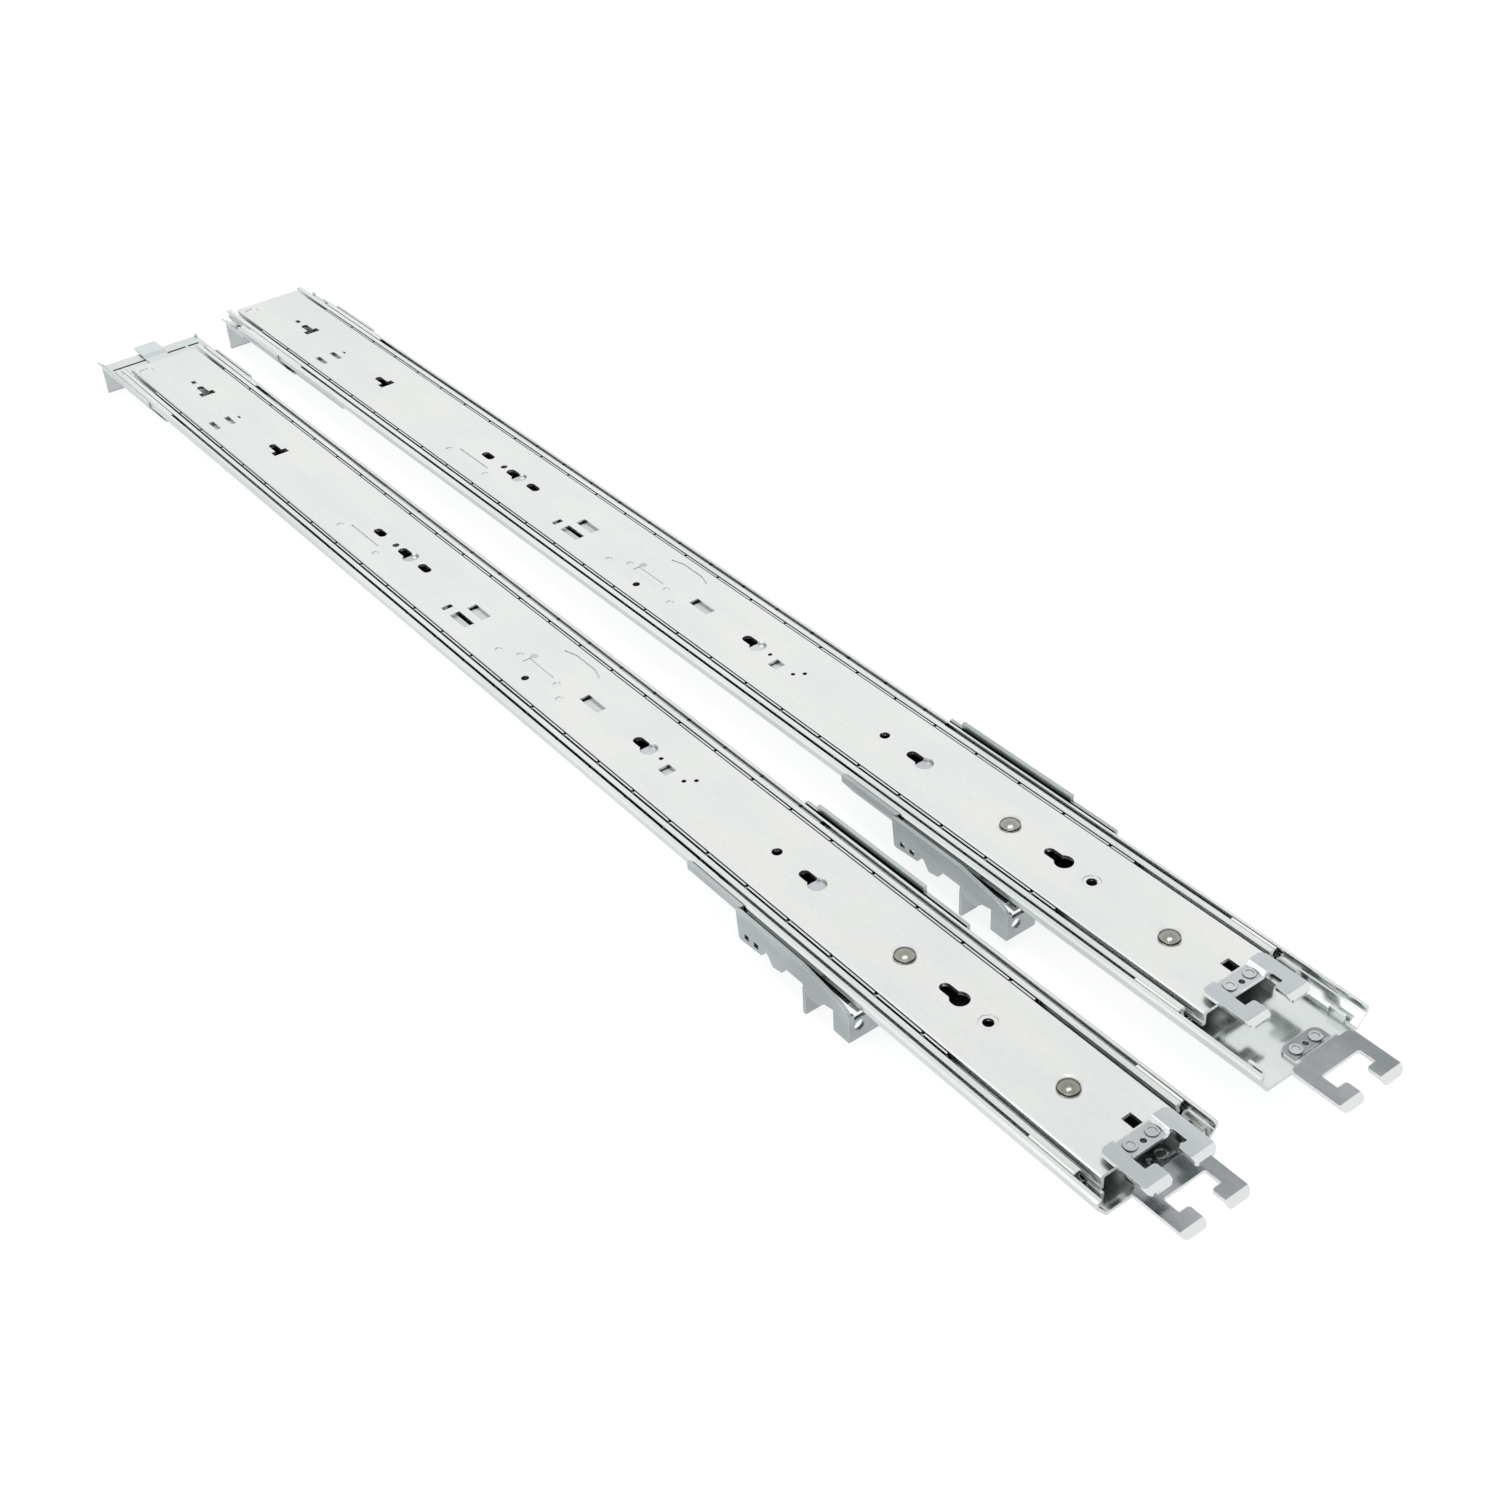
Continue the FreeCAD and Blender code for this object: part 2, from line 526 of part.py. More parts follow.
def cages(rail, label, y, start, length, pulled):
    """A pair of ball cages with notched edges, and their balls."""
    top = "-%s_cage_top" % label
    bottom = "-%s_cage_bottom" % label
    depth = "-%s_race_depth" % label
    count = int(sheet_value(sheet, "floor(%s / ball_pitch - 0.5)" % length))
    strips = []
    balls = []
    for sign in ("", "-"):
        centre = "%s%s" % (sign, y)
        sides = (centre + " - cage_sheet / 2", centre + " + cage_sheet / 2")
        strip = block((start, "%s + %s" % (start, length)), sides, (bottom, top))
        tools = []
        for index in range(count):
            x = "%s + %s - ball_pitch * (%d + 0.5)" % (start, length, index)
            tools.append(rod("y", "ball_radius + pocket_gap", (x, sides[0], depth), "cage_sheet"))
            tools.append(block((x + " - notch_width / 2", x + " + notch_width / 2"), sides,
                               (top + " - notch_depth", top)))
            balls.append(ball("ball_radius", (x, centre, depth)))
        strips.append(cut(strip, *tools))
    rail.node(grouped(strips), label + "_ball_cages", pulled)
    rail.node(grouped(balls), label + "_balls", pulled)


def bumpers(rail):
    """Plastic strips that guide the middle member: one pair on each of two members."""
    lip = "(outer_width / 2 - lip_reach)"
    flange = "(middle_width / 2)"
    front = "outer_start + bumper_inset"
    rear = MIDDLE_REAR + " - rear_bumper_length"
    for label, start, length, near, far, pulled in (
            ("front_bumpers", front, "front_bumper_length", lip + " - bumper_width", lip, 0.0),
            ("rear_bumpers", rear, "rear_bumper_length", flange, flange + " + bumper_width", 1.0)):
        pieces = []
        for sign in ("", "-"):
            edge = sorted_pair(sign, "%s(%s)" % (sign, near), "%s(%s)" % (sign, far))
            pieces.append(block((start, "%s + %s" % (start, length)), edge,
                                ("-lip_drop - bumper_depth", "-lip_drop - top_gap")))
        rail.node(grouped(pieces), label, pulled)


def rivet(x, y, bottom, top):
    """A rivet with a dished head above and a flush shank."""
    shank = rod("z", "rivet_radius", (x, y, bottom), "(%s) - (%s)" % (top, bottom))
    head = rod("z", "rivet_head", (x, y, top), "rivet_height")
    dish = rod("z", "rivet_dish", (x, y, "%s + rivet_height / 2" % top), "rivet_height / 2")
    return cut(fused(shank, head), dish)


def fork_plan(cavity_start, neck):
    """Plan outline of a fork with two hooked prongs, and its rounded corners.

    neck is the length of the narrower strip in front of the plate, or None.
    """
    end = "(%s + fork_cavity_length + fork_hook)" % cavity_start
    hook = "(%s + fork_cavity_length)" % cavity_start
    half = [(cavity_start, "fork_cavity / 2"), (hook, "fork_cavity / 2"), (hook, "fork_throat / 2"),
            (end, "fork_throat / 2"), (end, "fork_width / 2"), (neck or "0", "fork_width / 2")]
    if neck:
        half += [(neck, "strip_width / 2"), ("0", "strip_width / 2")]
    outline = half + [(x, "-(%s)" % y) for x, y in reversed(half)]
    count = len(outline)
    rounds = {"cavity_round": both(count, [0]), "hook_round": both(count, [2, 3]),
              "tip_round": both(count, [4, 5])}
    if neck:
        rounds["strip_round"] = both(count, [7])
    return outline, rounds


def bent_fork(start, offset, bottom, plan, profile, rounds):
    """A fork: its plan outline and the side view of its bends, shared by one solid."""
    outline, corners = plan
    flat = sheet_body("XY_Plane", outline, "fork_width", corners)
    put(flat, start, offset, "%s - fork_width / 2" % bottom)
    bends = sheet_body("XZ_Plane", profile, "fork_width * 2", rounds)
    put(bends, start, "%s + fork_width" % offset, bottom)
    return common(flat, bends)


def bent_tip(end, rise):
    """Lower and upper lines of a prong's side view, from its root to its bent tip."""
    lower = [("%s - tip_length" % end, rise), (end, "%s - tip_drop" % rise)]
    upper = [(x, "%s + fork_sheet" % z) for x, z in reversed(lower)]
    return lower + upper


def strip_holes(offset, x, hole_x, bottom):
    """Cutters for the two rivet holes and the pilot hole of a fork's strip."""
    holes = [rod("z", "rivet_radius + rivet_gap", (x, place, bottom), "fork_sheet")
             for place in fork_rivet_places(offset)]
    holes.append(rod("z", "centre_hole", (hole_x, offset, bottom), "fork_sheet"))
    return holes


def inner_fork(rail):
    """Fork on the chassis member: a low riveted strip between two raised arms."""
    offset = "inner_fork_offset"
    end = "(strip_length + fork_cavity_length + fork_hook)"
    top = "inner_fork_rise + fork_sheet"
    profile = [("0", "inner_fork_rise")] + bent_tip(end, "inner_fork_rise") + [("0", top)]
    prongs = bent_fork(INNER_FORK_START, offset, "0", fork_plan("strip_length", None), profile,
                       {"hook_round": [1, 4]})
    middle = block((INNER_FORK_START, INNER_FORK_START + " + strip_length"),
                   (offset + " - strip_width / 2", offset + " + strip_width / 2"),
                   ("0", top))
    half = [("strip_width / 2 - jog_width", "0"),
            ("strip_width / 2", "inner_fork_rise"),
            ("strip_width / 2", top),
            ("strip_width / 2 - jog_width / 2", top),
            ("strip_width / 2 - jog_width * 3 / 2", "fork_sheet")]
    section = mirrored(half)
    strip = sheet_body("YZ_Plane", section, "strip_length", {"jog_round": both(len(section), [3])})
    put(strip, INNER_FORK_START, offset, "0")
    holes = strip_holes(offset, inner_strip_x(0.5),
                        inner_strip_x(0.5) + " + centre_hole_shift", "0")
    rail.node(cut(fused(cut(prongs, middle), strip), *holes), "inner_fork", 1.0)
    rivets = [rivet(inner_strip_x(0.5), place, "-inner_sheet", "fork_sheet")
              for place in fork_rivet_places(offset)]
    rail.node(grouped(rivets), "inner_fork_rivets", 1.0)


def outer_fork(rail):
    """Fork on the outer member: a riveted strip that steps up to a wide plate."""
    offset = "outer_fork_offset"
    floor = "(-rail_depth + outer_sheet)"
    neck = "(outer_fork_root + outer_fork_neck / 2)"
    cavity = "(outer_fork_root + strip_length + outer_fork_neck)"
    end = "(%s + fork_cavity_length + fork_hook)" % cavity
    top = "outer_fork_rise + fork_sheet"
    profile = [("0", "0"),
               ("outer_fork_root", "0"),
               ("outer_fork_root + outer_fork_neck", "outer_fork_rise")]
    profile += bent_tip(end, "outer_fork_rise")
    profile += [("outer_fork_root - outer_fork_neck / 2", top),
                ("outer_fork_root - outer_fork_neck * 3 / 2", "fork_sheet"),
                ("0", "fork_sheet")]
    start = "(%s - outer_fork_root)" % OUTER_REAR
    fork = bent_fork(start, offset, floor, fork_plan(cavity, neck), profile,
                     {"bend_round": [7], "hook_round": [3, 6, 8]})
    holes = strip_holes(offset, outer_strip_x(0.5), outer_strip_x(0.5), floor)
    rail.node(cut(fork, *holes), "outer_fork")
    rivets = [rivet(outer_strip_x(0.5), place, "-rail_depth", floor + " + fork_sheet")
              for place in fork_rivet_places(offset)]
    rail.node(grouped(rivets), "outer_fork_rivets")


def domed_studs(rail):
    """Two domed studs riveted in dimples of the inner web."""
    studs = []
    for at in DOMES:
        x = "%s + %s" % (INNER_START, at)
        foot = "-dimple_depth / 4"
        barrel = rod("z", "dome_radius", (x, "0", foot), "dome_height + dimple_depth / 4")
        cap = ball("dome_sphere", (x, "0", "dome_height - dome_sphere"))
        neck = rod("z", "dome_neck", (x, "0", "-dimple_depth"), "dimple_depth")
        shank = rod("z", "dome_shank", (x, "0", "-inner_sheet"), "inner_sheet")
        studs.append(fused(common(barrel, cap), neck, shank))
    rail.node(grouped(studs), "domed_studs", 1.0)


def under_clip(x, y, length, width):
    """A spring plate against the underside of the inner web."""
    return block(("%s + %s - (%s) / 2" % (INNER_START, x, length),
                  "%s + %s + (%s) / 2" % (INNER_START, x, length)),
                 ("%s - (%s) / 2" % (y, width), "%s + (%s) / 2" % (y, width)),
                 ("-inner_sheet - clip_sheet", "-inner_sheet"))


def spring_clips(rail):
    """Clips behind the keyholes and windows that catch the studs of the server."""
    clips = [under_clip(at + " + clip_shift", "0", "clip_length", "clip_width")
             for at in ("key_one_at", "key_two_at", KEY_THREE)]
    clips.append(under_clip(KEY_FOUR, "-key_radius - clip_shift", "clip_length", "key_slot"))
    clips += [under_clip(at + " + clip_shift", "0", "window_length", "window_width + clip_margin * 2")
              for at in ("window_one_at", "window_two_at")]
    clips.append(under_clip("window_one_at - window_length / 2 + clip_shift", "-side_window_y - clip_margin",
                            "window_length * 2 + clip_margin", "side_window_width"))
    clips.append(under_clip("lance_at", "-(lance_one_y + lance_two_y) / 2", "lance_length + clip_margin",
                            "lance_two_y - lance_one_y + lance_width"))
    clips.append(under_clip("square_at + clip_shift", "-square_y", "square_size + clip_margin",
                            "square_size + clip_margin"))
    rail.node(grouped(clips), "spring_clips", 1.0)


def release_lever(rail):
    """Flat lever that turns under the inner web, and its pivot rivet."""
    bottom = "(-inner_sheet - lever_gap - lever_sheet)"
    pivot = "%s + lever_pivot_at" % INNER_START
    blade = block((pivot + " - lever_length / 2", pivot + " + lever_length / 2"),
                  ("-lever_width / 2", "lever_width / 2"), (bottom, "-inner_sheet - lever_gap"))
    bore = rod("z", "pivot_radius + pivot_clearance", (pivot, "0", bottom), "lever_sheet")
    rail.node(cut(blade, bore), "release_lever", 1.0)
    head_top = bottom + " - head_gap"
    shank = rod("z", "pivot_radius", (pivot, "0", head_top), "-(%s)" % head_top)
    head = rod("z", "pivot_head", (pivot, "0", head_top + " - rivet_height"), "rivet_height")
    rail.node(fused(shank, head), "lever_pivot", 1.0)


def front_bracket(rail):
    """Bracket with base, cheeks, slotted lip with two ears, tongue and the rack flange."""
    body = long_body(hugging_section("bracket_gap", "bracket_sheet", "-cheek_top"),
                     "cheek_start", "right_cheek_end - cheek_start")
    above = block(("cheek_start", "cheek_low_end"), ("-lip_width", "lip_width"),
                  ("-cheek_low_top", "0"))
    right_front = block(("cheek_start", "right_cheek_start"), ("foot_width / 2", "lip_width"),
                        ("-rail_depth", "0"))
    left_rear = block(("left_cheek_end", "right_cheek_end"), ("-lip_width", "-foot_width / 2"),
                      ("-rail_depth", "0"))
    low = "(-%s - bracket_sheet)" % FLANGE_TOP
    high = "(-%s)" % FLANGE_TOP
    edges = ("(lip_offset - lip_width / 2)", "(lip_offset + lip_width / 2)")
    base = block(("0", "base_length"), ("-foot_width / 2", "foot_width / 2"), (low, high))
    lip = block(("0", "lip_length"), edges, (low, high))
    flange = block(("0", "bracket_sheet"), edges, ("-flange_drop", high))
    ears = [block(("0", "bracket_sheet"), sides, (low, high + " + ear_height"))
            for sides in ((edges[0], edges[0] + " + ear_width"), (edges[1] + " - ear_width", edges[1]))]
    slit = block(("slot_start", "slot_start + slot_width"),
                 ("lip_offset - slot_length / 2", "lip_offset + slot_length / 2"), (low, high))
    holes = [rod("x", "rack_hole_radius",
                 ("0", "lip_offset %s rack_hole_pitch / 2" % sign, "-rack_hole_depth"), "bracket_sheet")
             for sign in "+-"]
    for x, y in front_rivet_places():
        holes.append(rod("z", "rivet_radius + rivet_gap", (x, y, low), "bracket_sheet"))
    cheeks = cut(body, above, right_front, left_rear)
    plate = cut(fused(cheeks, base, lip, flange, *ears), slit, *holes)
    rail.node(fused(plate, tongue()), "front_bracket")
    rivets = [rod("z", "rivet_radius", (x, y, low), "bracket_sheet + bracket_gap + outer_sheet")
              for x, y in front_rivet_places()]
    rail.node(grouped(rivets), "front_bracket_rivets")


def tongue():
    """Tongue that rises from the lip and reaches over the rack flange."""
    lift = "tongue_lift + bracket_sheet"
    profile = [("-tongue_front", "tongue_lift"),
               ("tongue_slope - bracket_sheet", "tongue_lift"),
               ("tongue_back - tongue_slope", "0"),
               ("tongue_back", "0"),
               ("tongue_back", "bracket_sheet / 2"),
               ("tongue_back - tongue_slope", "bracket_sheet / 2"),
               ("tongue_slope", lift),
               ("-tongue_front", lift)]
    plate = sheet_body("XZ_Plane", profile, "tongue_width", {"bracket_sheet / 2": [1, 6]})
    put(plate, "0", "lip_offset + tongue_width / 2", "-%s" % FLANGE_TOP)
    return plate


def hook_outline():
    """Side view of the hook bracket, from its front end."""
    return [("0", "-hook_top"),
            ("finger_start", "-hook_bottom"),
            ("finger_one_end", "-hook_bottom + hook_slot_rise"),
            ("finger_one_end + tooth_slope", "-hook_waist"),
            ("tooth_start - tooth_slope", "-hook_waist - hook_slot_rise"),
            ("tooth_start", "-hook_bottom"),
            ("tooth_end", "-hook_bottom + hook_slot_rise"),
            ("tooth_end + tooth_slope", "-hook_waist"),
            ("stop_tooth_start", "-hook_waist"),
            ("stop_tooth_start + tooth_slope", "-hook_bottom"),
            ("stop_tooth_end", "-hook_bottom + hook_slot_rise"),
            ("stop_tooth_end + tooth_slope", "-hook_waist - hook_slot_rise"),
            ("end_start", "-hook_waist"),
            ("end_start", "-end_depth"),
            ("hook_length", "-end_depth"),
            ("hook_length", "-hook_low_top"),
            ("hook_length - hook_bend", "-hook_low_top + hook_bend / 2"),
            ("hook_slope_start", "-hook_top")]


def carriage(rail):
    """Channel that slides along the outer member."""
    body = long_body(hugging_section("carriage_gap", "carriage_sheet", "ear_rise"),
                     CARRIAGE_START, "carriage_length")
    ear_start = CARRIAGE_START + " + ear_inset"
    left = ("-outer_width", "0")
    right = ("0", "outer_width")
    trims = [block((CARRIAGE_START, CARRIAGE_REAR), left, ("-lip_drop", "ear_rise")),
             block((CARRIAGE_START + " + carriage_high", CARRIAGE_REAR), left,
                   ("-carriage_low_top", "0")),
             block((CARRIAGE_START, ear_start), right, ("-right_top", "ear_rise")),
             block((ear_start + " + ear_length", CARRIAGE_REAR), right, ("-right_top", "ear_rise"))]
    rail.node(cut(body, *trims), "rear_carriage")


def hook_bracket(rail):
    """Side plate with teeth, a stop flange and an end flange that grip the rear post."""
    plate = sheet_body("XZ_Plane", hook_outline(), "hook_sheet",
                       {"finger_round": [1, 2, 5, 9, 10], "hook_corner": [15, 16]})
    put(plate, HOOK_START, "-" + HOOK_Y, "0")
    outer_face = "(-%s - hook_sheet)" % HOOK_Y
    stop_x = HOOK_START + " + stop_tooth_start"
    end_x = HOOK_START + " + hook_length"
    stop = block((stop_x, stop_x + " + hook_sheet"), (outer_face, outer_face + " + stop_width"),
                 ("-stop_depth", "-rail_depth - carriage_gap - carriage_sheet"))
    end = block((end_x + " - hook_sheet", end_x), (outer_face, outer_face + " + end_width"),
                ("-end_depth", "-rail_depth - end_gap"))
    corner = block((end_x + " - hook_sheet", end_x), (outer_face, outer_face + " + end_corner_width"),
                   ("-rail_depth - end_gap", "-end_corner_top"))
    slots = [block((HOOK_START + " + " + at, HOOK_START + " + %s + pin_slot_length" % at),
                   (outer_face, "-" + HOOK_Y),
                   ("-pin_slot_depth", "-pin_slot_depth + pin_slot_height"))
             for at in ("pin_slot_one", "pin_slot_two")]
    bore = rod("x", "end_hole_radius", (end_x + " - hook_sheet", outer_face + " + end_hole_inset",
                                        "-end_hole_depth"), "hook_sheet")
    rail.node(cut(fused(plate, stop, end, corner), bore, *slots), "rear_hook_bracket")


def build(rail):
    """Every sub-part of one rail."""
    outer_member(rail)
    front_bracket(rail)
    carriage(rail)
    hook_bracket(rail)
    outer_fork(rail)
    bumpers(rail)
    middle_member(rail)
    cages(rail, "outer", OUTER_BALL_Y, "(outer_start + outer_cage_inset)", "outer_cage_length", 0.5)
    cages(rail, "inner", INNER_BALL_Y, "(%s + inner_cage_inset)" % MIDDLE_START,
          "(%s - %s - inner_cage_inset - inner_cage_setback)" % (MIDDLE_REAR, MIDDLE_START), 1.0)
    inner_member(rail)
    inner_fork(rail)
    domed_studs(rail)
    spring_clips(rail)
    release_lever(rail)


def set_origin():
    """Move the frame's origin to the middle of the pair, at its lowest level."""
    box = FreeCAD.BoundBox()
    for item in NODES:
        box.add(item.Shape.BoundBox)
    for name, place in (("origin_x", -box.Center.x), ("origin_y", -box.Center.y), ("origin_z", -box.ZMin)):
        sheet.set(sheet.getCellFromAlias(name), str(place))


def check_and_write():
    """Stop on a failed object, then write one STEP file for each node."""
    for item in doc.Objects:
        if "Invalid" in item.State or "Error" in item.State:
            raise RuntimeError("%s failed: %s" % (item.Label, item.State))
    os.makedirs("parts", exist_ok=True)
    for item in NODES:
        if item.Shape.isNull() or not item.Shape.isValid():
            raise RuntimeError("%s has no valid shape" % item.Label)
        item.Shape.exportStep("parts/%s.step" % item.Label)


build(Rail("rail_1", "-pair_pitch / 2", "0", "0"))
build(Rail("rail_2", "pair_pitch / 2", "pair_stagger", "rail_two_pull"))
doc.recompute()
set_origin()
doc.recompute()
check_and_write()
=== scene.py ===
"""Looks of the sliding server rail pair: zinc-plated sheet steel on a white studio floor."""
import json
import math
import bpy
import bmesh
from mathutils import Matrix, Vector


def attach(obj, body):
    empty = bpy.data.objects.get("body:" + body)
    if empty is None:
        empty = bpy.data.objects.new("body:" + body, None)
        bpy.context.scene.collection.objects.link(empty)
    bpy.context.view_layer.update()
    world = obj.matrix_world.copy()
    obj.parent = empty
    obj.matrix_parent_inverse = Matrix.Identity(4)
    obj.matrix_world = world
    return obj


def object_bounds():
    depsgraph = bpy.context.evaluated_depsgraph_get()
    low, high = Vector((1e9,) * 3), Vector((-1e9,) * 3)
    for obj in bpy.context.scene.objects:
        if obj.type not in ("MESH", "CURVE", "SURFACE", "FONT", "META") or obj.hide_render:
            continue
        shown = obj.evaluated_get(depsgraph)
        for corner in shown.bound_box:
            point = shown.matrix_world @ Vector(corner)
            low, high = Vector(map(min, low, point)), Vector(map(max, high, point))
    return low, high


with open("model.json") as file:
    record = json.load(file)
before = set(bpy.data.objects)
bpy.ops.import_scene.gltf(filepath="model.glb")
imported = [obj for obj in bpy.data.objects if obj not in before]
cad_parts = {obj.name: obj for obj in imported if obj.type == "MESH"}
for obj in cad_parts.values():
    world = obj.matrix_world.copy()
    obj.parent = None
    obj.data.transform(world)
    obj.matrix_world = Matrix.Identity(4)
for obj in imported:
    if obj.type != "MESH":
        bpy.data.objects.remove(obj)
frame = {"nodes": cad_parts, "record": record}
CAD_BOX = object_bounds()
MM = 0.001

# rail coordinates in the frame, in millimetres: origin, and each rail's place along and across
ORIGIN = (-371.1, -1.4, 24.0)
RAIL_PLACES = {"rail_1": (0.0, -36.05), "rail_2": (-3.3, 36.05)}
# low and high x, y and z of the dark strip below a lip's slit: painted shade
SLIT_SHADE_SPANS = ((8.1, 9.5), (-19.3, 28.1), (-10.4, -9.9))

# nodes given a darker copy of their slot's finish: painted shade
PAINTED_SHADE_FINISH = {"outer_fork": "fork_painted_shade", "rear_hook_bracket": "zinc_painted_shade", "rear_carriage": "zinc_painted_shade"}

# camera: where it stands in the frame, and the directions it looks and leans, in degrees
CAMERA_PLACE = Vector((0.6248, -0.36115, 0.4890))
CAMERA_AZIMUTH = 54.99
CAMERA_ELEVATION = 37.16
CAMERA_ROLL = -3.44
CAMERA_LENS = 49.6
CAMERA_SENSOR = 36.0

STUDIO_WHITE = (1.0, 1.0, 1.0, 1.0)
FLOOR_COLOUR = (0.30, 0.31, 0.31, 1.0)
FLOOR_GLOW = 0.82
FLOOR_IN_GLOSS = 0.62
FLOOR_SIZE = 6.0
FLOOR_GAP = 0.2 * MM

# surround, from the horizon up to the zenith: height and colour
SURROUND = (
    (0.0, (0.03, 0.035, 0.035, 1)),
    (0.14, (0.10, 0.11, 0.11, 1)),
    (0.24, (0.72, 0.74, 0.73, 1)),
    (0.34, (0.95, 0.96, 0.955, 1)),
    (0.60, (0.94, 0.95, 0.94, 1)),
    (0.74, (0.83, 0.84, 0.83, 1)),
    (0.88, (0.76, 0.77, 0.76, 1)),
)

# studio lights: name, place, target, size in metres, power in watts
SOFTBOXES = (
    ("key", (0.5, -0.2, 1.9), (0.1, 0, 0), (0.9, 0.5), 7.0),
    ("fill", (0.2, -1.6, 0.7), (0.1, 0, 0), (1.2, 0.6), 6.0),
)

# plate: noise scales per metre, and the colours of dust specks, of the painted highlight on bends and
# of the painted highlight on edges
CLOUD_SCALE = 55.0
SPECK_SCALE = 900.0
GRAIN_SCALE = 2600.0
SPECK = (0.62, 0.65, 0.66, 1)
BEND_HIGHLIGHT = (0.97, 0.98, 0.99, 1)
EDGE_HIGHLIGHT = (0.98, 0.99, 0.99, 1)
HOLLOW_REACH = 2.5 * MM
ROUND_OFF = 0.15 * MM
GRAIN_DEPTH = 0.02 * MM
FORK_EDGE = 0.6 * MM

# finishes: colour, tint of its clouds, roughness, and what differs from plain plate (the painted
# highlight on edges, the painted shade in hollows, the painted highlight on bends)
FINISHES = {
    "zinc_rail": ((0.88, 0.90, 0.89, 1), (0.80, 0.84, 0.83, 1), 0.15, {}),
    "zinc_slide": ((0.88, 0.90, 0.89, 1), (0.80, 0.84, 0.83, 1), 0.15, {}),
    "zinc_web": ((0.92, 0.925, 0.91, 1), (0.88, 0.895, 0.885, 1), 0.30, {}),
    "zinc_bracket": ((0.80, 0.83, 0.84, 1), (0.72, 0.76, 0.77, 1), 0.24, {}),
    # darker zinc for the rear hook bracket and rear carriage: painted shade
    "zinc_painted_shade": ((0.60, 0.64, 0.65, 1), (0.46, 0.49, 0.50, 1), 0.24, {}),
    "fork_steel": ((0.66, 0.69, 0.72, 1), (0.58, 0.61, 0.64, 1), 0.20,
                   {"edge": FORK_EDGE, "hollow": 0.6, "bends": 1.0}),
    # darker copy of fork_steel for the outer fork: painted shade
    "fork_painted_shade": ((0.44, 0.46, 0.48, 1), (0.30, 0.32, 0.34, 1), 0.24,
                 {"edge": FORK_EDGE, "bends": 1.0}),
    "rivet_steel": ((0.76, 0.78, 0.79, 1), (0.58, 0.60, 0.61, 1), 0.22, {"hollow": 0.6}),
    "cage_steel": ((0.84, 0.85, 0.85, 1), (0.74, 0.76, 0.76, 1), 0.30, {}),
    "ball_steel": ((0.86, 0.87, 0.88, 1), (0.80, 0.81, 0.82, 1), 0.12, {}),
    "stud_nickel": ((0.42, 0.41, 0.38, 1), (0.32, 0.31, 0.28, 1), 0.22, {}),
    "spring_steel": ((0.70, 0.73, 0.75, 1), (0.58, 0.61, 0.63, 1), 0.18, {}),
    # near-black plate for the dark strips below the lips' slits: painted shade
    "slit_shade_steel": ((0.16, 0.17, 0.17, 1), (0.12, 0.13, 0.13, 1), 0.4, {}),
}


def add_camera():
    """Camera at the viewing angle of the picture, with no shift and no depth of field."""
    azimuth = math.radians(CAMERA_AZIMUTH)
    elevation = math.radians(CAMERA_ELEVATION)
    back = Vector((math.sin(azimuth) * math.cos(elevation), -math.cos(azimuth) * math.cos(elevation),
                   math.sin(elevation)))
    right = (-back).cross(Vector((0, 0, 1))).normalized()
    up = right.cross(-back)
    turn = Matrix((right, up, back)).transposed().to_4x4()
    data = bpy.data.cameras.new("Camera")
    data.lens = CAMERA_LENS
    data.sensor_width = CAMERA_SENSOR
    data.clip_start = 0.01
    data.clip_end = 20.0
    camera = bpy.data.objects.new("Camera", data)
    camera.matrix_world = (Matrix.Translation(CAMERA_PLACE) @ turn
                           @ Matrix.Rotation(math.radians(CAMERA_ROLL), 4, "Z"))
    bpy.context.scene.collection.objects.link(camera)
    bpy.context.scene.camera = camera


def add_softbox(name, place, target, size, power):
    """A rectangular studio light that faces a target."""
    data = bpy.data.lights.new(name, "AREA")
    data.shape = "RECTANGLE"
    data.size = size[0]
    data.size_y = size[1]
    data.energy = power
    light = bpy.data.objects.new(name, data)
    light.location = place
    light.rotation_euler = (Vector(target) - Vector(place)).to_track_quat("-Z", "Y").to_euler()
    bpy.context.scene.collection.objects.link(light)


def add_world():
    """Soft surround: dark at the horizon, bright above it, a little greyer at the zenith."""
    world = bpy.data.worlds.new("Studio")
    world.use_nodes = True
    bpy.context.scene.world = world
    nodes = world.node_tree.nodes
    links = world.node_tree.links
    background = nodes["Background"]
    place = nodes.new("ShaderNodeTexCoord")
    split = nodes.new("ShaderNodeSeparateXYZ")
    ramp = nodes.new("ShaderNodeValToRGB")
    links.new(place.outputs["Generated"], split.inputs["Vector"])
    links.new(split.outputs["Z"], ramp.inputs["Fac"])
    links.new(ramp.outputs["Color"], background.inputs["Color"])
    elements = ramp.color_ramp.elements
    for element, (height, colour) in zip(elements, (SURROUND[0], SURROUND[-1])):
        element.position = height
        element.color = colour
    for height, colour in SURROUND[1:-1]:
        elements.new(height).color = colour
    background.inputs["Strength"].default_value = 1.0


